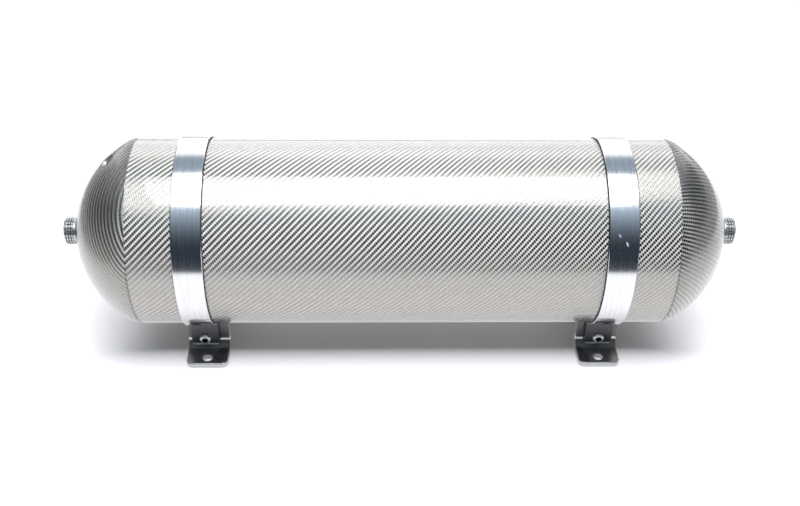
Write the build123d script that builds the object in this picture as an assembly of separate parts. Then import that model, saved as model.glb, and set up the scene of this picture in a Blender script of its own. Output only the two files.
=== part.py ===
"""Air suspension tank: a seamless vessel in a cloth skin, held by two straps on four feet.

Millimetres. +X runs along the tank, -Y is the front and +Z is up. The origin is on the
surface that the feet stand on, below the middle of the tank.
"""
from build123d import *
from math import cos, radians, sin, sqrt
import os

# Tank, measured over the cloth
tank_radius = 84.0
crown_radius = 93.0
seam_x = 235.3
knuckle_radius = 22.0
cloth_thickness = 0.8
seam_gap = 0.3
axis_height = 110.0

# Vessel wall, end bosses and the ports in them
barrel_wall = 4.0
dome_wall = 4.5
boss_face_x = 293.2
boss_radius = 13.0
boss_neck_radius = 19.0
boss_inner_x = 274.0
end_port_radius = 10.25

# Small port on the left shoulder, in the upright plane through the tank's axis
shoulder_angle = 52.0
shoulder_boss_radius = 9.0
shoulder_neck_radius = 13.0
shoulder_face_sink = 0.5
shoulder_neck_depth = 14.0
shoulder_port_radius = 6.7

# Knurled end plugs
seal_thickness = 1.2
seal_radius = 11.6
plug_thread_radius = 10.2
plug_thread_length = 14.0
plug_collar_radius = 10.9
plug_collar_length = 1.6
plug_head_radius = 12.7
plug_head_length = 8.8
plug_head_rounding = 1.8
plug_socket_flats = 10.0
plug_socket_depth = 7.0
knurl_columns = 24
knurl_rows = 4
knurl_depth = 0.8
knurl_width = 1.4

# Headless plug, screwed in below the face of the shoulder boss
small_plug_radius = 6.68
small_plug_length = 10.0
small_plug_sink = 1.6
small_plug_rim = 0.4
small_plug_socket_flats = 6.35
small_plug_socket_depth = 5.5

# Straps and their rubber liners
strap_width = 25.4
strap_thickness = 1.6
liner_thickness = 0.85
liner_margin = 0.6
fit_gap = 0.03
ear_front_y = 40.0
ear_bottom_z = 7.8
ear_bend_radius = 2.4
ear_corner_radius = 3.0
strap_edge_break = 0.35
strap_x = {"left": -183.2, "right": 185.8}

# Foot brackets, folded from thick strip
foot_width = 38.6
foot_thickness = 4.8
foot_upright_y = 35.0
foot_front_y = 64.0
foot_bend_radius = 9.0
foot_corner_radius = 6.5
foot_edge_radius = 0.9
foot_hole_y = 55.4
foot_hole_radius = 4.5
foot_slack_radius = 3.6
foot_x = {"left": -180.4, "right": 184.6}

# Clamp screws (M6, button head) and nuts
screw_radius = 2.95
screw_length = 17.0
screw_head_radius = 5.25
screw_head_height = 3.0
screw_head_rounding = 2.0
screw_socket_flats = 5.0
screw_socket_depth = 2.4
screw_z = 15.4
ear_hole_radius = 3.3
nut_flats = 10.0
nut_thickness = 5.0
nut_hole_radius = 3.0

# Worked out from the dimensions above
dome_centre_x = seam_x - sqrt((crown_radius - knuckle_radius) ** 2 - (tank_radius - knuckle_radius) ** 2)
shell_radius = tank_radius - cloth_thickness
shell_crown = crown_radius - cloth_thickness
liner_inner = tank_radius + fit_gap
liner_outer = liner_inner + liner_thickness
strap_inner = liner_outer + fit_gap
strap_outer = strap_inner + strap_thickness
to_axis = Pos(0, 0, axis_height)


def domed_body(radius, crown, knuckle):
    """A cylinder with two domed ends about the tank's own axis, as one turned solid."""
    corner_x = dome_centre_x + sqrt(crown**2 - radius**2)
    tip_x = dome_centre_x + crown
    half_angle = radians(35)
    bulge_x = dome_centre_x + crown * cos(half_angle)
    bulge_z = crown * sin(half_angle)
    outline = [
        ThreePointArc((-tip_x, 0), (-bulge_x, bulge_z), (-corner_x, radius)),
        Line((-corner_x, radius), (corner_x, radius)),
        ThreePointArc((corner_x, radius), (bulge_x, bulge_z), (tip_x, 0)),
        Line((tip_x, 0), (-tip_x, 0)),
    ]
    profile = make_face(outline)
    corners = profile.vertices().filter_by(lambda v: v.Y > radius / 2)
    profile = fillet(corners, knuckle)
    return revolve(Plane.XZ * profile, Axis.X)


def rod_x(radius, start_x, end_x):
    """A round bar along the tank's axis."""
    length = end_x - start_x
    return Pos(start_x + length / 2, 0, 0) * Rot(0, 90, 0) * Cylinder(radius, length)


def shoulder_place(distance):
    """The place at a distance from the left dome's centre, with its Z out along the shoulder port."""
    angle = radians(shoulder_angle)
    out = Vector(-cos(angle), 0, sin(angle))
    centre = Vector(-dome_centre_x, 0, 0)
    return Location(Plane(origin=centre + out * distance, x_dir=(0, 1, 0), z_dir=out))


def shoulder_rod(radius, start, end):
    """A round bar along the shoulder port's axis, between two distances from the dome's centre."""
    return shoulder_place((start + end) / 2) * Cylinder(radius, end - start)


def hex_prism(across_flats, height):
    """A six-sided prism that stands on the XY plane."""
    return extrude(RegularPolygon(across_flats / 2, 6, major_radius=False), height)


def make_shell():
    """The seamless vessel: barrel, domes, thick necks and the threaded ports' bores."""
    outside = domed_body(shell_radius, shell_crown, knuckle_radius)
    inside = domed_body(shell_radius - barrel_wall, shell_crown - dome_wall, knuckle_radius - barrel_wall)
    shell = outside - inside
    inside_dome = dome_centre_x + shell_crown - dome_wall
    for side in (-1, 1):
        ends = sorted((side * boss_inner_x, side * (inside_dome + dome_wall / 2)))
        shell += rod_x(boss_neck_radius, ends[0], ends[1])
        ends = sorted((side * boss_inner_x, side * boss_face_x))
        shell += rod_x(boss_radius, ends[0], ends[1])
    face = crown_radius - shoulder_face_sink
    shell += shoulder_rod(shoulder_neck_radius, face - shoulder_neck_depth, shell_crown - dome_wall / 2)
    shell += shoulder_rod(shoulder_boss_radius, face - shoulder_neck_depth, face)
    shell -= rod_x(end_port_radius, -boss_face_x - 1, -boss_inner_x + 1)
    shell -= rod_x(end_port_radius, boss_inner_x - 1, boss_face_x + 1)
    shell -= shoulder_rod(shoulder_port_radius, face - shoulder_neck_depth - 1, face + 1)
    return shell


def make_cloth():
    """The three cloth skins: one round the barrel and one over each dome."""
    skin = domed_body(tank_radius, crown_radius, knuckle_radius)
    skin -= domed_body(shell_radius, shell_crown, knuckle_radius - cloth_thickness)
    skin -= rod_x(boss_radius + seam_gap, -boss_face_x - 5, -boss_inner_x)
    skin -= rod_x(boss_radius + seam_gap, boss_inner_x, boss_face_x + 5)
    skin -= shoulder_rod(shoulder_boss_radius + seam_gap, shell_crown - 10, crown_radius + 5)
    half_barrel = seam_x - seam_gap / 2
    barrel_zone = Box(2 * half_barrel, 3 * tank_radius, 3 * tank_radius)
    dome_zone = Box(200, 3 * tank_radius, 3 * tank_radius)
    dome_zone_x = seam_x + seam_gap / 2 + 100
    return {
        "barrel_wrap": skin & barrel_zone,
        "left_dome_wrap": skin & (Pos(-dome_zone_x, 0, 0) * dome_zone),
        "right_dome_wrap": skin & (Pos(dome_zone_x, 0, 0) * dome_zone),
    }


def make_end_plug():
    """The right end plug: thread stub, plain collar and knurled head with a hexagon socket."""
    collar_x = boss_face_x + seal_thickness
    head_x = collar_x + plug_collar_length
    tip_x = head_x + plug_head_length
    head = rod_x(plug_head_radius, head_x, tip_x)
    outer_rim = head.edges().sort_by(Axis.X)[-1]
    head = fillet(outer_rim, plug_head_rounding)
    inner_rim = head.edges().filter_by(GeomType.CIRCLE).sort_by(Axis.X)[0]
    head = chamfer(inner_rim, 0.5)

    row_pitch = plug_head_length / knurl_rows
    half_width = knurl_width / 2
    groove_reach = knurl_depth * 1.6
    notch = Polyline(
        (-half_width * 1.6, groove_reach - knurl_depth),
        (half_width * 1.6, groove_reach - knurl_depth),
        (0, -knurl_depth),
        close=True,
    )
    notch_face = make_face(notch)
    grooves = []
    for row in range(1, knurl_rows):
        place = Pos(head_x + row * row_pitch, 0, plug_head_radius)
        grooves.append(revolve(place * (Plane.XZ * notch_face), Axis.X))
    straight = extrude(Plane.YZ * (Pos(0, plug_head_radius) * notch_face), plug_head_length + 1)
    straight = Pos(head_x - 0.5, 0, 0) * straight
    for column in range(knurl_columns):
        grooves.append(Rot(column * 360 / knurl_columns, 0, 0) * straight)
    head -= grooves

    plug = head + rod_x(plug_collar_radius, collar_x, head_x)
    thread = rod_x(plug_thread_radius, collar_x - plug_thread_length, collar_x)
    thread_end = thread.edges().filter_by(GeomType.CIRCLE).sort_by(Axis.X)[0]
    plug += chamfer(thread_end, 1.0)
    socket = Rot(0, 90, 0) * hex_prism(plug_socket_flats, plug_socket_depth + 1)
    return plug - Pos(tip_x - plug_socket_depth, 0, 0) * socket


def make_end_seal():
    """The flat sealing ring between the right boss and its plug."""
    ring = rod_x(seal_radius, boss_face_x, boss_face_x + seal_thickness)
    return ring - rod_x(plug_thread_radius + 0.05, boss_face_x - 1, boss_face_x + seal_thickness + 1)


def make_shoulder_plug():
    """The headless plug in the shoulder port, with a hexagon socket."""
    top = crown_radius - shoulder_face_sink - small_plug_sink
    plug = shoulder_rod(small_plug_radius, top - small_plug_length, top)
    plug = chamfer(plug.edges().filter_by(GeomType.CIRCLE), small_plug_rim)
    socket = hex_prism(small_plug_socket_flats, small_plug_socket_depth + 1)
    return plug - shoulder_place(top - small_plug_socket_depth) * socket


def make_strap(x):
    """One rolled strap: round the tank over the top, with both ends bent down into bolted ears."""
    ear_bottom = ear_bottom_z - axis_height
    ear_back_y = ear_front_y - strap_thickness
    outline = Circle(strap_outer) - Circle(strap_inner)
    below = strap_outer + 10
    outline -= Pos(0, -below / 2) * Rectangle(2 * ear_back_y, below)
    ear_top = -sqrt(strap_outer**2 - ear_front_y**2) + 0.5
    for side in (-1, 1):
        centre = (side * (ear_front_y + ear_back_y) / 2, (ear_top + ear_bottom) / 2)
        outline += Pos(*centre) * Rectangle(strap_thickness, ear_top - ear_bottom)

    front_corner_z = -sqrt(strap_outer**2 - ear_front_y**2)
    back_corner_z = -sqrt(strap_inner**2 - ear_back_y**2)

    def at(y, z):
        return lambda v: abs(abs(v.X) - y) < 0.05 and abs(v.Y - z) < 0.05

    outline = fillet(outline.vertices().filter_by(at(ear_front_y, front_corner_z)), ear_bend_radius)
    back_radius = ear_bend_radius + strap_thickness
    outline = fillet(outline.vertices().filter_by(at(ear_back_y, back_corner_z)), back_radius)

    strap = extrude(Plane.YZ * outline, strap_width / 2, both=True)
    ear_corners = strap.edges().filter_by(Axis.Y).group_by(Axis.Z)[0]
    strap = fillet(ear_corners, ear_corner_radius)
    round_edges = strap.edges().filter_by(GeomType.CIRCLE)
    outer_rims = round_edges.filter_by(lambda e: abs(e.radius - strap_outer) < 0.01)
    strap = chamfer(outer_rims, strap_edge_break)
    hole_z = screw_z - axis_height
    strap -= Pos(0, 0, hole_z) * Rot(90, 0, 0) * Cylinder(ear_hole_radius, 4 * ear_front_y)
    return Pos(x, 0, 0) * strap


def make_liner(x):
    """The thin rubber band between a strap and the tank, a little wider than the strap."""
    outline = Circle(liner_outer) - Circle(liner_inner)
    clear = 2 * (ear_front_y + 2)
    outline -= Pos(0, -liner_outer / 2) * Rectangle(clear, liner_outer)
    half_width = strap_width / 2 + liner_margin
    return Pos(x, 0, 0) * extrude(Plane.YZ * outline, half_width, both=True)


def make_foot(side):
    """The front foot of one strap: an angle folded from strip, hollowed at its top to the tank."""
    back_y = foot_upright_y - foot_thickness
    top = axis_height - tank_radius / 2
    outline = make_face(Polyline(
        (-foot_upright_y, top),
        (-foot_upright_y, foot_thickness),
        (-foot_front_y, foot_thickness),
        (-foot_front_y, 0),
        (-back_y, 0),
        (-back_y, top),
        close=True,
    ))
    inner = outline.vertices().filter_by(lambda v: abs(v.X + foot_upright_y) < 0.01 and v.Y < top - 1)
    outline = fillet(inner, foot_bend_radius)
    outer = outline.vertices().filter_by(lambda v: abs(v.X + back_y) < 0.01 and v.Y < 1)
    outline = fillet(outer, foot_bend_radius + foot_thickness)

    foot = extrude(Plane.YZ * outline, foot_width / 2, both=True)
    toes = foot.edges().filter_by(Axis.Z).filter_by(lambda e: e.center().Y < -foot_front_y + 0.1)
    foot = fillet(toes, foot_corner_radius)
    lip = foot.faces().filter_by(Axis.Z).filter_by(lambda f: abs(f.center().Z - foot_thickness) < 0.01)
    foot = fillet(lip.edges().filter_by(lambda e: e.center().Y < -foot_front_y + 7), foot_edge_radius)
    foot -= Pos(0, -foot_hole_y, 0) * Cylinder(foot_hole_radius, 4 * foot_thickness)

    foot = Pos(foot_x[side], 0, 0) * foot
    slack_hole = Rot(90, 0, 0) * Cylinder(foot_slack_radius, 4 * foot_thickness)
    foot -= Pos(strap_x[side], -foot_upright_y, screw_z) * slack_hole
    hollow = rod_x(tank_radius + 0.1, -2 * seam_x, 2 * seam_x)
    return foot - to_axis * hollow


def make_screw(x):
    """One front clamp screw: button head with a hexagon socket, plain shank and a chamfered end."""
    head = extrude(Circle(screw_head_radius), screw_head_height)
    head = fillet(head.edges().sort_by(Axis.Z)[-1], screw_head_rounding)
    shank = Pos(0, 0, -screw_length / 2) * Cylinder(screw_radius, screw_length)
    shank = chamfer(shank.edges().sort_by(Axis.Z)[0], 0.6)
    socket = hex_prism(screw_socket_flats, screw_socket_depth + 1)
    screw = head + shank - Pos(0, 0, screw_head_height - screw_socket_depth) * socket
    return Pos(x, -ear_front_y, screw_z) * Rot(90, 0, 0) * screw


def make_nut(x):
    """The hexagon nut on one front screw, behind the foot's upright."""
    nut = hex_prism(nut_flats, nut_thickness)
    nut -= Pos(0, 0, nut_thickness / 2) * Cylinder(nut_hole_radius, 2 * nut_thickness)
    seat_y = foot_upright_y - foot_thickness
    return Pos(x, nut_thickness - seat_y, screw_z) * Rot(90, 0, 0) * Rot(0, 0, 90) * nut


parts = {"tank_shell": to_axis * make_shell()}
for name, skin in make_cloth().items():
    parts[name] = to_axis * skin

right_plug = make_end_plug()
right_seal = make_end_seal()
parts["right_end_plug"] = to_axis * right_plug
parts["left_end_plug"] = to_axis * Rot(0, 0, 180) * right_plug
parts["right_plug_seal"] = to_axis * right_seal
parts["left_plug_seal"] = to_axis * Rot(0, 0, 180) * right_seal
parts["shoulder_plug"] = to_axis * make_shoulder_plug()

for side in ("left", "right"):
    parts[f"{side}_strap"] = to_axis * make_strap(strap_x[side])
    parts[f"{side}_strap_liner"] = to_axis * make_liner(strap_x[side])
    front = {
        "foot": make_foot(side),
        "screw": make_screw(strap_x[side]),
        "nut": make_nut(strap_x[side]),
    }
    for piece, solid in front.items():
        parts[f"{side}_front_{piece}"] = solid
        parts[f"{side}_rear_{piece}"] = mirror(solid, about=Plane.XZ)

os.makedirs("parts", exist_ok=True)
for name, solid in parts.items():
    export_step(solid, f"parts/{name}.step")
print(f"{len(parts)} parts written")
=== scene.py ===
# %% [markdown]
# # Air suspension tank
# A seamless aluminium tank wears a silver twill cloth under clear gloss resin. Two bright straps
# hold it on four folded steel feet, and a knurled plug closes each end. The solids come ready
# made from the packed model, so this lesson gives them their finishes, a studio and a camera.

# %% Load the packed solids
import math

import bpy
from mathutils import Matrix, Vector

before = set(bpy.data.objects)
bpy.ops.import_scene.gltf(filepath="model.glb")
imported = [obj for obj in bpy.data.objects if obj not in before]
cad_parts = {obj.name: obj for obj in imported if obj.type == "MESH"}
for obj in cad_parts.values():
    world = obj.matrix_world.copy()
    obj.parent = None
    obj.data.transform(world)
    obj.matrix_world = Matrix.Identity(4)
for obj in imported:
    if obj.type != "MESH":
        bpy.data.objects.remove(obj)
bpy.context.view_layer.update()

# %% [markdown]
# ## Writing shader maths as sums
# A finish on this tank is mostly arithmetic on a position: which thread is on top here, how far
# from its middle, how deep the groove. Node by node that is hard to read, so one small class
# wraps a socket and lets Python's own signs add the Math nodes.


# %% A socket that understands + - * /
class Wire:
    """One output socket of a node tree, with the arithmetic that the finishes use."""

    def __init__(self, tree, socket):
        self.tree = tree
        self.socket = socket

    def node(self, kind, settings=None, output=0, **inputs):
        """Adds any node to this wire's tree: its settings first, then what its inputs get.

        An input is given by its name, or by i and its place, and gets a value or a wire. Returns
        one of the node's outputs, by place or name, or None where it has none.
        """
        made = self.tree.nodes.new(kind)
        for key, value in (settings or {}).items():
            setattr(made, key, value)
        for key, value in inputs.items():
            place = int(key[1:]) if key[1:].isdigit() else key
            if isinstance(value, Wire):
                self.tree.links.new(value.socket, made.inputs[place])
            else:
                made.inputs[place].default_value = value
        return Wire(self.tree, made.outputs[output]) if len(made.outputs) else None

    def sum_of(self, operation, *values):
        """One Math node on any values, in the order given."""
        inputs = {f"i{place}": value for place, value in enumerate(values)}
        return self.node("ShaderNodeMath", {"operation": operation}, **inputs)

    def maths(self, operation, *others):
        """One Math node with this wire first."""
        return self.sum_of(operation, self, *others)

    def __add__(self, other):
        return self.maths("ADD", other)

    def __radd__(self, other):
        return self.maths("ADD", other)

    def __sub__(self, other):
        return self.maths("SUBTRACT", other)

    def __rsub__(self, other):
        return self.sum_of("SUBTRACT", other, self)

    def __mul__(self, other):
        return self.maths("MULTIPLY", other)

    def __rmul__(self, other):
        return self.maths("MULTIPLY", other)

    def __truediv__(self, other):
        return self.maths("DIVIDE", other)

    def __rtruediv__(self, other):
        return self.sum_of("DIVIDE", other, self)

    def __pow__(self, other):
        return self.maths("POWER", other)

    def __neg__(self):
        return self.maths("MULTIPLY", -1.0)

    def __gt__(self, other):
        return self.maths("GREATER_THAN", other)

    def __lt__(self, other):
        return self.maths("LESS_THAN", other)

    def floor(self):
        return self.maths("FLOOR")

    def wrapped(self, length):
        """The remainder after whole lengths, never negative."""
        return self.maths("FLOORED_MODULO", length)

    def sine(self):
        return self.maths("SINE")

    def cosine(self):
        return self.maths("COSINE")

    def size(self):
        """The value without its sign."""
        return self.maths("ABSOLUTE")

    def root(self):
        return self.maths("SQRT")

    def angle_from(self, other):
        """The angle whose tangent is this over the other, in radians."""
        return self.maths("ARCTAN2", other)

    def at_least(self, least):
        return self.maths("MAXIMUM", least)

    def at_most(self, most):
        return self.maths("MINIMUM", most)

    def clamped(self):
        """The value kept between 0 and 1."""
        return self.node("ShaderNodeClamp", Value=self)

    def ramp(self, low, high, to_low=0.0, to_high=1.0):
        """A smooth step from one value to another as this wire goes from low to high."""
        ends = {"i1": low, "i2": high, "i3": to_low, "i4": to_high}
        return self.node("ShaderNodeMapRange", {"interpolation_type": "SMOOTHSTEP"}, i0=self, **ends)

    def colour(self, low, high):
        """A colour between two others, by this wire. Each is a wire or three numbers."""
        low, high = (end if isinstance(end, Wire) else (*end, 1.0) for end in (low, high))
        return self.node("ShaderNodeMix", {"data_type": "RGBA"}, 2, i0=self, i6=low, i7=high)

    def noise(self, scale, detail, stretch=(1, 1, 1)):
        """Smooth noise at this position, between 0 and 1."""
        where = self.node("ShaderNodeVectorMath", {"operation": "MULTIPLY"}, i0=self, i1=stretch)
        return self.node("ShaderNodeTexNoise", Vector=where, Scale=scale, Detail=detail)

    def xyz(self):
        """The three parts of this position."""
        parts = self.node("ShaderNodeSeparateXYZ", i0=self).socket.node.outputs
        return [Wire(self.tree, part) for part in parts]

    def bump(self, distance):
        """A surface direction that tips as this height changes."""
        return self.node("ShaderNodeBump", Height=self, Distance=distance)


print("signs:", sorted(name.strip("_") for name in vars(Wire) if name.startswith("__")))

# %% [markdown]
# ## Starting a finish
# A finish is a new material with one Principled shader. What is the same all over it is set on the
# shader's own sockets. What changes over it is worked out from the position on the solid, which is
# in metres, so that a measure from the workshop can be written as it is.


# %% A new finish
def position(tree, space):
    """The position on the surface, as the first wire of a tree."""
    return Wire(tree, None).node("ShaderNodeTexCoord", None, space)


def finish(name, **constants):
    """A new material: returns it, its shader and the position in metres."""
    material = bpy.data.materials.new(name)
    material.use_nodes = True
    shader = material.node_tree.nodes["Principled BSDF"]
    for key, value in constants.items():
        shader.inputs[key.replace("_", " ")].default_value = value
    return material, shader, position(material.node_tree, "Object")


def plug_in(shader, socket, wire):
    wire.tree.links.new(wire.socket, shader.inputs[socket])


print("a finish starts from one Principled shader")

# %% [markdown]
# ## Measures of the tank
# The finishes need to know where they are on the tank. Each dome is a wide crown that turns into
# the barrel over a tight knuckle. Both are arcs, so the crown's centre and the angle where the two
# meet follow from their radii.

# %% The tank's measures in metres
axis_height = 0.11
tank_radius = 0.084
seam_x = 0.2353
crown_radius = 0.093
knuckle_radius = 0.022
crown_reach = crown_radius - knuckle_radius
knuckle_reach = tank_radius - knuckle_radius
dome_centre_x = seam_x - math.sqrt(crown_reach**2 - knuckle_reach**2)
meeting_angle = math.asin(knuckle_reach / crown_reach)


def from_axis(y, z):
    """The distance from the tank's axis, and the height above it."""
    up = z - axis_height
    return (y * y + up * up).root(), up


print("crown and knuckle meet at", round(math.degrees(meeting_angle), 1), "degrees")

# %% [markdown]
# ## One thread of the cloth
# A thread is a bundle of fine filaments. It is round from side to side, finely ribbed along its
# length, and rises and dips as it passes over two threads and under two. Woven as a mesh, the cloth
# would take millions of faces, so its height goes to a Bump node, which tips the light in the same
# way.

# %% A thread's height
thread_pitch = 0.001435
repeat = 4
filaments = 5
filament_height = 0.09


def thread_shape(side, length, wave_height):
    """A thread's height, from distances across it and along it, in threads."""
    off_middle = (side.wrapped(1.0) - 0.5) * 2.0
    bundle = 1.0 - off_middle * off_middle
    wave = (length * (2 * math.pi / repeat)).cosine()
    ribs = (side * (2 * math.pi * filaments)).sine()
    return bundle + wave_height * wave + filament_height * ribs


threads_round = repeat * round(2 * math.pi * tank_radius / thread_pitch / repeat)
print("threads round the barrel:", threads_round)

# %% [markdown]
# ## The 2/2 twill
# In this twill each row starts one thread later than the row before, so the floats line up in
# diagonals. From a little way off, each float of the threads that run round the tank shows as a
# dark oval, with the pale threads that run along the tank between. A picture of cloth would show
# where it repeats, so the pattern is worked out: the ovals stand in leaning columns, which the
# photo's own weave shows when many repeats are averaged.

# %% Which thread shows
column_step = 3.0
oval_half_width = 0.50
oval_half_length = 0.95
# A pale float's middle is halfway between two ovals of its row.
light_float_middle = 7 / 6
light_dip = 0.35
oval_dip = 0.05


def twill(along, across):
    """Where the threads that run round the tank show, and the cloth's height.

    Both come from two distances in threads. Each float of the threads that run round shows as a
    leaning oval. The ovals stand in leaning columns, three threads apart, and the threads that
    run along the tank fill the rest.
    """
    column = (along * column_step + across) / repeat
    off_middle = column.wrapped(1.0) - 0.5
    off_centre = (across - column.floor()).wrapped(column_step) - column_step / 2
    beyond = (off_middle / oval_half_width) ** 2.0 + (off_centre / oval_half_length) ** 2.0
    oval = beyond < 1.0
    along_float = (along - across.floor()).wrapped(repeat) - light_float_middle
    along_shape = thread_shape(across, along_float, light_dip)
    across_shape = thread_shape(column, off_centre, oval_dip)
    height = along_shape + oval * (across_shape - along_shape)
    return oval, height


print("an oval is", round(2 * oval_half_length * thread_pitch * 1000, 2), "mm long")

# %% [markdown]
# ## Silver cloth under resin
# Both sets of threads are silvered. The resin over them is hard and smooth, and a second mesh
# could stand for it, but the shader's coat does the same with less. The sleeve's pale threads are
# partly bare filament, so they are less than fully metal. The dark ones are smoother metal that
# mirrors the dark room, and their darker colour is painted shade, since both sets are the same
# silver. Cloth is never laid quite straight, so slow noise moves it by less than half a thread.

# %% The cloth's finish
light_tint = (1.0, 0.966, 0.905)
# The dark ovals' tint and range are painted shade: both sets of threads are the same silver.
oval_painted_shade_tint = (1.0, 0.935, 0.84)
light_range = (0.76, 0.87)
oval_painted_shade_range = (0.30, 0.38)
# Painted shade beside the caps' rims, and the dark line at the rims.
seam_line_and_painted_shade = (0.10, 0.10, 0.095)
oval_share_in_shade = 0.4
oval_roughness = 0.11
resin_roughness = 0.02
resin_index = 1.5
waver_scale = 16.0
waver_threads = 0.8
shade_scale = 900.0
plain_detail = 1.0
weave_depth = 0.00024


def tinted(tint, amount):
    return tuple(amount * part for part in tint)


def silver_cloth(name, lay, silver, light_metal, light_roughness, seam_line_and_shade=None):
    """A cloth finish: lay turns the position into distances in threads along and across.

    silver is how bright its metal is, lowered on the caps as painted shade, and light_metal how far
    the light threads are metal, the rest being pale filaments. seam_line_and_shade gives how much a
    place has of the dark line at a cap's rim and of the painted shade beside it on the upper side.
    """
    material, shader, place = finish(
        name, Metallic=1.0, Coat_Weight=1.0, Coat_Roughness=resin_roughness, Coat_IOR=resin_index
    )
    waver = place.noise(waver_scale, plain_detail) - 0.5
    along, across = lay(*place.xyz())
    along = along + waver * waver_threads
    across = across + waver * waver_threads
    oval, height = twill(along, across)
    shade = place.noise(shade_scale, plain_detail)
    light = shade.colour(*(tinted(light_tint, amount * silver) for amount in light_range))
    dark = shade.colour(*(tinted(oval_painted_shade_tint, amount * silver) for amount in oval_painted_shade_range))
    tone = oval.colour(light, dark)
    if seam_line_and_shade is not None:
        line_and_shade_amount = seam_line_and_shade(*place.xyz())
        shaded = line_and_shade_amount * ((1.0 - oval_share_in_shade) + oval_share_in_shade * oval)
        tone = shaded.colour(tone, seam_line_and_painted_shade)
        plug_in(shader, "Coat Weight", 1.0 - line_and_shade_amount)
    plug_in(shader, "Base Color", tone)
    if light_metal < 1.0:
        plug_in(shader, "Metallic", light_metal + (1.0 - light_metal) * oval)
    plug_in(shader, "Roughness", light_roughness + (oval_roughness - light_roughness) * oval)
    plug_in(shader, "Normal", height.bump(weave_depth))
    return material


print("silver of the pale threads:", light_range, "and of the dark ones:", oval_painted_shade_range)

# %% [markdown]
# ## Sleeve on the barrel
# The sleeve is pulled over the tank by hand, so its threads aren't quite square: those that run
# round the tank gain four threads in a turn, and those that run along it climb, more so past the
# middle. Round the tank is the angle about the axis, and the number of threads in a turn is a
# multiple of four, so the diagonals close without a join, which a wrapped picture wouldn't do. A
# log of a cosh turns a straight climb into a steeper one over a soft bend.

# %% The sleeve
climb_at_middle = 70.0
climb_gain = 56.0
climb_spread = 0.08
climb_middle_x = 0.008


def barrel_lay(x, y, z):
    turns = (z - axis_height).angle_from(-y) / (2 * math.pi)
    swing = ((x - climb_middle_x) / climb_spread).maths("COSH").maths("LOGARITHM", math.e)
    climb = x * climb_at_middle + swing * (climb_gain * climb_spread)
    return x / thread_pitch - turns * repeat, turns * threads_round - climb


sleeve_silver = 1.0
sleeve_light_metal = 0.6
sleeve_light_roughness = 0.16
sleeve_cloth = silver_cloth(
    "silver_twill_sleeve", barrel_lay, sleeve_silver, sleeve_light_metal, sleeve_light_roughness
)
print("made", sleeve_cloth.name)

# %% [markdown]
# ## Caps on the domes
# A flat piece of the same cloth is smoothed over each dome from its pole outwards. Projecting it
# straight along the axis would be simpler, but its threads would stretch over the knuckle. So
# distances from the pole keep their length, first over the crown's arc and then over the knuckle's.
# The right cap is the left one turned over. The rim of a cap is pressed under the sleeve, which
# leaves a thin dark line. Beside it on the upper side, a wider dark band is painted shade where the
# knuckle would mirror the lamp, and the caps' lower silver is painted shade as well.

# %% The caps
# The wider band beside a cap's rim, on the upper side, is painted shade.
painted_shade_width = 0.013
painted_shade_most = 0.9
painted_shade_low = 0.005
painted_shade_high = 0.045
line_start = 0.0006
line_end = 0.0020
line_most = 0.7
# Keeps the division by the distance from the axis finite at the pole.
least_off_axis = 0.0001


def dome_lay(x, y, z):
    off_axis, up = from_axis(y, z)
    crown_angle = off_axis.angle_from(x.size() - dome_centre_x)
    knuckle_angle = (off_axis - knuckle_reach).angle_from(x.size() - seam_x)
    on_crown = crown_angle.at_most(meeting_angle)
    on_knuckle = (knuckle_angle - meeting_angle).at_least(0.0)
    reach = on_crown * crown_radius + on_knuckle * knuckle_radius
    spread = reach / (off_axis + least_off_axis) / thread_pitch
    return y * spread, up * spread


def turned_dome_lay(x, y, z):
    return dome_lay(x, -y, z)


def dome_seam_line_and_painted_shade(x, y, z):
    """How much a place has of the dark line at a cap's rim and of the painted shade beside it."""
    beside = x.size().ramp(seam_x, seam_x + painted_shade_width, painted_shade_most, 0.0)
    upper_side = z.ramp(axis_height + painted_shade_low, axis_height + painted_shade_high)
    line = x.size().ramp(seam_x + line_start, seam_x + line_end, line_most, 0.0)
    return (beside * upper_side).at_least(line)


# Lower than the sleeve's silver: painted shade on the same cloth.
cap_silver_in_painted_shade = 0.78
cap_light_metal = 1.0
cap_light_roughness = 0.3
left_cloth, right_cloth = (
    silver_cloth(name, lay, cap_silver_in_painted_shade, cap_light_metal, cap_light_roughness, dome_seam_line_and_painted_shade)
    for name, lay in (
        ("silver_twill_left_dome", dome_lay),
        ("silver_twill_right_dome", turned_dome_lay),
    )
)
print("made", left_cloth.name, "and", right_cloth.name)

# %% [markdown]
# ## Rubbed metal
# Every bare metal piece was rubbed or turned, which leaves fine lines. Anisotropic gloss could
# draw out the highlights too, but it shows no single line, so the lines are noise, drawn out along
# the way of the rubbing. They vary the colour, the roughness and the height together. Handling
# leaves clouds in the roughness. A piece can also have painted shade in places, grooves, or
# scrapes and a painted highlight.

# %% A metal finish
line_detail = 3.0
cloud_scale = 40.0
cloud_detail = 2.0
least_roughness = 0.75
line_share = 0.35
cloud_share = 0.3
dull_roughness = 0.2
scraped_roughness = 0.5
# Pale colour for scrapes and for painted highlights.
scrape_and_highlight_colour = (1.0, 1.0, 1.0)
fine_lines = 2500.0


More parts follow.
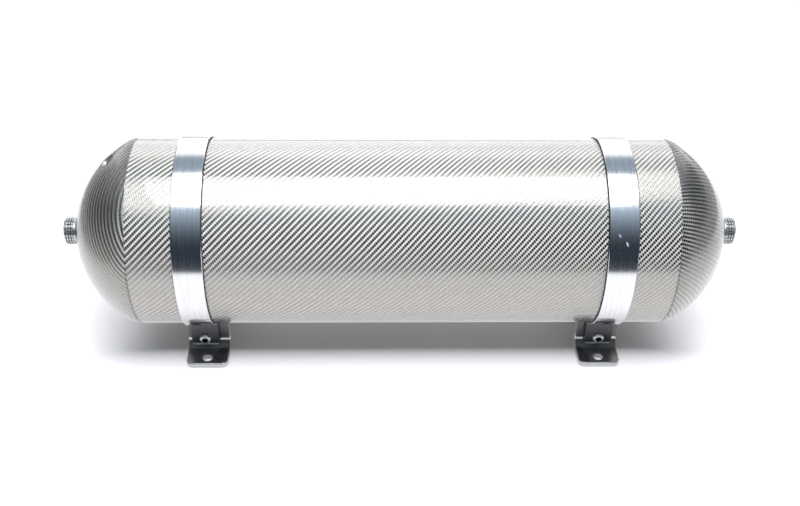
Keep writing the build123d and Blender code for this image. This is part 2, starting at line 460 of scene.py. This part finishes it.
def rubbed_metal(
    name, colour, roughness, depth, stretch=(1, 1, 1), scale=fine_lines, streaks=0.9,
    painted_shade=None, groove=None, scrapes_and_highlight=None,
):
    """Metal with fine rubbing lines: depth is their height, and stretch draws them out.

    streaks is how bright the darkest lines are. painted_shade is the colour of painted shade and a
    function for how far a place has it. groove gives a height in metres that is added to the lines,
    and scrapes_and_highlight how far a place has a pale rough scrape or a painted highlight.
    """
    material, shader, place = finish(name, Metallic=1.0)
    lines = place.noise(scale, line_detail, stretch)
    clouds = place.noise(cloud_scale, cloud_detail)
    tone = lines.colour(tinted(colour, streaks), colour)
    rough = roughness * (least_roughness + line_share * lines + cloud_share * clouds)
    height = lines * depth
    # Painted shade: a darker colour where the function says, and rougher there.
    if painted_shade is not None:
        shade_colour, shade_amount = painted_shade
        amount = shade_amount(*place.xyz())
        tone = amount.colour(tone, shade_colour)
        rough = rough + amount * dull_roughness
    if groove is not None:
        height = height + groove(*place.xyz())
    if scrapes_and_highlight is not None:
        amount = scrapes_and_highlight(*place.xyz())
        tone = amount.colour(tone, scrape_and_highlight_colour)
        rough = rough + amount * scraped_roughness
    plug_in(shader, "Base Color", tone)
    plug_in(shader, "Roughness", rough)
    plug_in(shader, "Normal", height.bump(1.0))
    return material


most_roughness = least_roughness + line_share + cloud_share
print("a metal's roughness wanders from", least_roughness, "to", round(most_roughness, 2), "of its value")

# %% [markdown]
# ## Straps
# The straps are bright aluminium strip, rubbed along its length, so their lines run round the tank.
# Below the bend their ears have painted shade, which stands in for the dark parts that they
# mirror, and their lower edge a painted highlight. The right strap has two small nicks at the
# front. They could be cut into the solid, but at this size a rough pale spot, which catches the
# lamp, looks the same.

# %% The straps' finish
strap_colour = (0.96, 0.96, 0.965)
strap_lines = 1000.0
# Painted shade on the ears and the strap's lower end, below the bend.
ear_painted_shade = (0.11, 0.11, 0.115)
ear_top = (0.030, 0.037)
ear_bottom = (0.0092, 0.0104)
# A painted highlight along the ears' lower edges.
ear_edge_highlight = (0.0094, 0.0106)
ear_edge_highlight_amount = 0.8
nicks = [(0.1817, 0.1545, 0.0008, 0.0015), (0.1883, 0.1482, 0.0010, 0.0022)]
nick_lean = 0.4
nick_edge = 0.6


def shade_on_ear(x, y, z):
    return z.ramp(*ear_top, 1.0, 0.0) * z.ramp(*ear_bottom)


def strap_nicks_and_edge_highlight(x, y, z):
    """The two leaning nicks, and a painted highlight along the ears' lower edges."""
    nicked = 0.0
    for middle_x, middle_z, half_width, half_height in nicks:
        above = z - middle_z
        aside = (x - middle_x + above * nick_lean) / half_width
        up = above / half_height
        nicked = nicked + (aside * aside + up * up).ramp(nick_edge, 1.0, 1.0, 0.0)
    at_front = y < 0.0
    return nicked * at_front + z.ramp(*ear_edge_highlight, ear_edge_highlight_amount, 0.0)


strap_metal = rubbed_metal(
    "bright_strap", strap_colour, roughness=0.15, depth=0.000016, stretch=(1, 0.03, 0.03),
    scale=strap_lines, streaks=0.7, painted_shade=(ear_painted_shade, shade_on_ear), scrapes_and_highlight=strap_nicks_and_edge_highlight,
)
print("made", strap_metal.name, "with", len(nicks), "nicks")

# %% [markdown]
# ## Feet
# The feet are folded from steel strip. Their darkness is painted shade, left off a line along the
# fold and off the flange towards its lip, which are painted highlights. A mask from the edges
# could be painted, but the fold's height and the lip's place are known, so smooth steps between
# them are enough.

# %% The feet's finish
foot_colour = (0.72, 0.72, 0.71)
# Painted shade over the feet, and painted highlights where it is left off.
foot_painted_shade = (0.20, 0.20, 0.20)
fold_low = (0.0095, 0.0108)
fold_high = (0.0122, 0.0135)
lip_range = (0.045, 0.061)
lip_most = 0.9


def shade_off_fold_and_lip(x, y, z):
    fold = z.ramp(*fold_low) * z.ramp(*fold_high, 1.0, 0.0)
    lip = y.size().ramp(*lip_range, 0.0, lip_most)
    return (1.0 - fold - lip).clamped()


foot_metal = rubbed_metal(
    "foot_steel", foot_colour, roughness=0.20, depth=0.000004, stretch=(1, 0.05, 0.05),
    painted_shade=(foot_painted_shade, shade_off_fold_and_lip),
)
print("made", foot_metal.name)

# %% [markdown]
# ## Clamp screws and nuts
# The M6 screws are bright stainless steel. Their hexagon sockets are real holes in the solids,
# with painted shade in them so that they read from a distance. A cut thread would make a small
# solid very heavy, so its ridges are a sine of the distance along the shank plus the angle round
# it, a helix.

# %% The screws' and nuts' finishes
strap_middle_x = 0.0013
strap_from_middle = 0.1845
screw_axis_z = 0.0154
ear_front = 0.0398
screw_colour = (0.80, 0.80, 0.79)
nut_colour = (0.60, 0.60, 0.60)
socket_radius = 0.0028
# Painted shade in the screws' hexagon sockets.
socket_painted_shade = (0.02, 0.02, 0.02)
shank_skin = 0.0027
screw_pitch = 0.001
thread_share = 0.3


def from_screw(x, z):
    """The distance from the nearest screw's axis, and the angle round it."""
    aside = (x - strap_middle_x).size() - strap_from_middle
    above = z - screw_axis_z
    return (aside * aside + above * above).root(), above.angle_from(aside)


def shade_in_socket(x, y, z):
    reach, _ = from_screw(x, z)
    return (reach < socket_radius) * (y.size() > ear_front)


def screw_thread(x, y, z):
    """The M6 thread's ridges, on the shank alone."""
    reach, turn = from_screw(x, z)
    ridge = (y * (2 * math.pi / screw_pitch) + turn).sine()
    on_shank = (reach > shank_skin) * (y.size() < ear_front)
    return ridge * on_shank * (thread_share * screw_pitch / 2)


screw_metal = rubbed_metal(
    "screw_steel", screw_colour, roughness=0.30, depth=0.000004,
    painted_shade=(socket_painted_shade, shade_in_socket), groove=screw_thread,
)
nut_metal = rubbed_metal("nut_steel", nut_colour, roughness=0.28, depth=0.000004)
print("made", screw_metal.name, "and", nut_metal.name)

# %% [markdown]
# ## Plugs and vessel
# The end plugs are turned aluminium. Painted shade lies in the grooves of their knurled heads,
# which are real grooves, so the distance from the axis finds them. The stubs carry the port's
# thread as ridges in the height, and it shows when a plug is unscrewed. The small shoulder plug
# and the vessel under the cloth are plain turned and spun metal.

# %% The plugs' and vessel's finishes
plug_colour = (0.88, 0.88, 0.86)
small_plug_colour = (0.84, 0.84, 0.82)
vessel_colour = (0.80, 0.81, 0.82)
knurl_from = 0.2962
knurl_to = 0.3028
knurl_inside = 0.0113
groove_depths = (0.0120, 0.0126)
# Painted shade in the knurl's grooves.
groove_painted_shade = (0.10, 0.10, 0.10)
groove_shade_most = 0.85
plug_pitch = 0.001814
stub_inside = 0.0094
stub_outside = 0.0105


def shade_in_grooves(x, y, z):
    reach, _ = from_axis(y, z)
    on_knurl = (x.size() > knurl_from) * (x.size() < knurl_to) * (reach > knurl_inside)
    return reach.ramp(*groove_depths, groove_shade_most, 0.0) * on_knurl


def plug_thread(x, y, z):
    """The port thread's ridges, on the plug's stub alone."""
    reach, up = from_axis(y, z)
    ridge = (x * (2 * math.pi / plug_pitch) + up.angle_from(y)).sine()
    on_stub = (reach > stub_inside) * (reach < stub_outside)
    return ridge * on_stub * (thread_share * plug_pitch / 2)


plug_metal = rubbed_metal(
    "turned_plug", plug_colour, roughness=0.34, depth=0.000006, stretch=(1, 0.05, 0.05),
    painted_shade=(groove_painted_shade, shade_in_grooves), groove=plug_thread,
)
small_plug_metal = rubbed_metal("small_turned_plug", small_plug_colour, roughness=0.27, depth=0.000006)
vessel_metal = rubbed_metal(
    "spun_vessel", vessel_colour, roughness=0.25, depth=0.000008, stretch=(1, 0.02, 0.02)
)
print("made", plug_metal.name, small_plug_metal.name, "and", vessel_metal.name)

# %% [markdown]
# ## Rubber
# The straps' liners and the rings under the plugs are black rubber. It could be one flat colour,
# but rubber is matt because its skin is grainy, so a fine grain goes into its colour and height.

# %% The rubber's finish
rubber_roughness = 0.6
grain_scale = 1800.0
grain_detail = 3.0
grain_depth = 0.00003
rubber_dark = (0.012, 0.012, 0.013)
rubber_light = (0.03, 0.03, 0.032)


def rubber(name):
    material, shader, place = finish(name, Metallic=0.0, Roughness=rubber_roughness)
    grain = place.noise(grain_scale, grain_detail)
    plug_in(shader, "Base Color", grain.colour(rubber_dark, rubber_light))
    plug_in(shader, "Normal", grain.bump(grain_depth))
    return material


black_rubber = rubber("black_rubber")
print("made", black_rubber.name)

# %% [markdown]
# ## Dressing the solids
# Every solid keeps its mesh and takes its finish by name. Pieces that come in pairs or fours share
# one finish, because the position on the tank already tells them apart.

# %% Give each node its finish
dress = {
    "tank_shell": vessel_metal,
    "barrel_wrap": sleeve_cloth,
    "left_dome_wrap": left_cloth,
    "right_dome_wrap": right_cloth,
    "shoulder_plug": small_plug_metal,
}
for side in ("left", "right"):
    dress[f"{side}_strap"] = strap_metal
    dress[f"{side}_strap_liner"] = black_rubber
    dress[f"{side}_end_plug"] = plug_metal
    dress[f"{side}_plug_seal"] = black_rubber
    for end in ("front", "rear"):
        dress[f"{side}_{end}_foot"] = foot_metal
        dress[f"{side}_{end}_screw"] = screw_metal
        dress[f"{side}_{end}_nut"] = nut_metal
for name, material in dress.items():
    solid = bpy.data.objects[name]
    solid.data.materials.clear()
    solid.data.materials.append(material)
print("dressed:", len(dress), "of", len(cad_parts))

# %% [markdown]
# ## Table
# The tank stands on a white table. More light would burn the tank out before the table turned
# white, so for the camera the table glows as well: not at all under the tank, where its shadow
# lies, and fully a hand's breadth in front of it. The straps in the photo mirror a table that ends,
# so mirrored rays see a dark room past its edges, and a pale sweep behind the tank.

# %% The table's own light
shadow_half_length = 0.2455
shadow_half_width = 0.036
end_softness = 0.04
end_share = 0.174
fade_length = 0.018
glow_most = 0.85
sweep_range = (0.05, 0.5)
sweep_glow = (0.52, 1.05)


def table_glow(place, camera, glossy):
    """How strongly the table glows at a place, for each kind of ray."""
    x, y, _ = place.xyz()
    past_end = (x.size() - shadow_half_length).maths("SMOOTH_MAX", 0.0, end_softness)
    past_side = (y.size() - shadow_half_width).at_least(0.0)
    past = (past_end * past_end * end_share + past_side * past_side).root()
    far = glow_most * (1.0 - (past / -fade_length).maths("EXPONENT"))
    behind = y.ramp(*sweep_range, *sweep_glow)
    return camera * far + glossy * behind


print("the glow is almost two thirds full", round(fade_length * 1000), "mm past the shadow's side")

# %% The table's finish
table_paint = (0.72, 0.706, 0.694, 1)
glow_colour = (0.985, 0.97, 1.02, 1)
brightest_glow = max(glow_most, *sweep_glow)
room_ahead = (0.045, 0.056, 0.072, 1)
room_beside = (0.060, 0.066, 0.060, 1)
left_end = (-0.72, -0.50)
right_end = (0.75, 1.0)
front_edge = -0.485


def table_finish():
    material = bpy.data.materials.new("white_table")
    material.use_nodes = True
    tree = material.node_tree
    tree.nodes.clear()
    place = position(tree, "Object")
    x, y, _ = place.xyz()
    camera = place.node("ShaderNodeLightPath", None, "Is Camera Ray")
    glossy = place.node("ShaderNodeLightPath", None, "Is Glossy Ray")
    behind_edge = y > front_edge
    on_table = x.ramp(*left_end) * x.ramp(*right_end, 1.0, 0.0) * behind_edge
    off_table = glossy * (1.0 - on_table)
    glow_strength = table_glow(place, camera, glossy)
    paint = place.node("ShaderNodeBsdfDiffuse", Color=table_paint)
    full_glow = place.node("ShaderNodeEmission", Color=glow_colour, Strength=brightest_glow)
    glow = place.node("ShaderNodeMixShader", i0=glow_strength / brightest_glow, i2=full_glow)
    glowing_paint = place.node("ShaderNodeAddShader", i0=paint, i1=glow)
    ahead = place.node("ShaderNodeEmission", Color=room_ahead, Strength=1.0)
    beside = place.node("ShaderNodeEmission", Color=room_beside, Strength=1.0)
    room = place.node("ShaderNodeMixShader", i0=behind_edge, i1=ahead, i2=beside)
    mixed = place.node("ShaderNodeMixShader", i0=off_table, i1=glowing_paint, i2=room)
    place.node("ShaderNodeOutputMaterial", Surface=mixed)
    return material


print("in a mirror the table ends", -front_edge, "m in front of the tank's axis")

# %% Make the table
table_half_length = 4.0
table_half_depth = 3.0


def make_table():
    mesh = bpy.data.meshes.new("table")
    signs = ((-1, -1), (1, -1), (1, 1), (-1, 1))
    corners = [(across * table_half_length, deep * table_half_depth, 0.0) for across, deep in signs]
    mesh.from_pydata(corners, [], [(0, 1, 2, 3)])
    mesh.materials.append(table_finish())
    table = bpy.data.objects.new("table", mesh)
    bpy.context.collection.objects.link(table)
    return table


table = make_table()
print("table:", table.dimensions.x, "by", table.dimensions.y, "m")

# %% [markdown]
# ## Room
# Bright metal is only as good as what it mirrors. In front of this tank was a dark room that got
# hazy towards the lamp. Behind it was a slate wall, bright near the table, and both sides were
# dark. Boards could be set up for all that, but bands in the world do the same: by the angle from
# straight ahead over the top, and by how far a direction points sideways. The camera itself sees
# plain white.

# %% The world
white = (1.0, 1.0, 1.0)
navy = (0.034, 0.043, 0.060)
haze = (0.47, 0.60, 0.72)
slate = (0.307, 0.378, 0.457)
bright_wall = (1.50, 1.52, 1.57)
dark_side = (0.055, 0.062, 0.055)
haze_start = 12.0
haze_length = 48.0
overhead = 90.0
wall_range = (128.0, 141.0)
side_range = (0.54, 0.74)


def make_world():
    world = bpy.data.worlds.new("studio")
    bpy.context.scene.world = world
    world.use_nodes = True
    world.node_tree.nodes.clear()
    place = position(world.node_tree, "Generated")
    x, y, z = place.xyz()
    angle = z.angle_from(-y) * (180 / math.pi)
    front = (((angle - haze_start) / haze_length).clamped() ** 2.0).colour(navy, haze)
    wall = angle.ramp(*wall_range).colour(slate, bright_wall)
    around = (angle > overhead).colour(front, wall)
    room = x.size().ramp(*side_range).colour(around, dark_side)
    camera = place.node("ShaderNodeLightPath", None, "Is Camera Ray")
    seen = camera.colour(room, white)
    background = place.node("ShaderNodeBackground", Color=seen, Strength=1.0)
    place.node("ShaderNodeOutputWorld", Surface=background)
    return world


studio = make_world()
print("world nodes:", len(studio.node_tree.nodes))

# %% [markdown]
# ## Soft light
# One wide lamp hangs above and a little in front of the tank. Several small ones would each leave
# a band of light on the barrel, and the photo has one. The lamp's depth sets that band's height,
# and its length ends the band near the seams. The power of a lamp follows from how bright it looks
# and from its area.

# %% The lamp
lamp_length = 0.81
lamp_depth = 0.675
lamp_brightness = 6.0
lamp_place = (0.0, -0.1725, axis_height + 1.0)


def make_soft_light():
    lamp = bpy.data.lights.new("soft_light", "AREA")
    lamp.shape = "RECTANGLE"
    lamp.size = lamp_length
    lamp.size_y = lamp_depth
    lamp.energy = lamp_brightness * math.pi * lamp_length * lamp_depth
    light = bpy.data.objects.new("soft_light", lamp)
    light.location = lamp_place
    light.visible_camera = False
    bpy.context.collection.objects.link(light)
    return light


soft_light = make_soft_light()
print("lamp:", round(soft_light.data.energy, 2), "W")

# %% [markdown]
# ## Camera
# The photo looks down at the tank from 34 degrees, a little from the left, with the tank level in
# the frame. The camera could be set by eye, but it was fitted to the tank's outline, seams and
# straps: a lens of about 50 mm on a full frame, and a picture cut so that its middle is above the
# lens's axis, which is a small shift.

# %% Camera at the photo's angle
picture_width = 800.0
sensor_width = 36.0
focal_pixels = 1111.0
axis_row = 230.54
centre_row = 306.0
middle_row = 253.0
elevation = math.radians(34.0)
turn = math.radians(1.5)
tilt = math.atan((centre_row - axis_row) / focal_pixels)
aim = Vector((-0.00175, 0, axis_height))
camera_distance = 1.020


def make_camera():
    straight = Vector((0, -math.cos(elevation), math.sin(elevation)))
    upright = Vector((0, math.sin(elevation), math.cos(elevation)))
    sideways = Vector((1, 0, 0))
    towards = math.cos(turn) * straight - math.sin(turn) * sideways
    right = math.cos(turn) * sideways + math.sin(turn) * straight
    forward = -towards * math.cos(tilt) - upright * math.sin(tilt)
    up = -towards * math.sin(tilt) + upright * math.cos(tilt)
    lens = bpy.data.cameras.new("camera")
    lens.sensor_width = sensor_width
    lens.lens = sensor_width * focal_pixels / picture_width
    lens.shift_y = (centre_row - middle_row) / picture_width
    camera = bpy.data.objects.new("camera", lens)
    bpy.context.collection.objects.link(camera)
    turned = Matrix((right, up, -forward)).transposed().to_4x4()
    turned.translation = aim + towards * camera_distance
    camera.matrix_world = turned
    return camera


camera = make_camera()
bpy.context.scene.camera = camera
print("camera at", [round(part, 3) for part in camera.location])

# %% [markdown]
# ## Finish
# The Standard view shows a colour as it is written.

# %% The view
view = bpy.context.scene.view_settings
view.view_transform = "Standard"
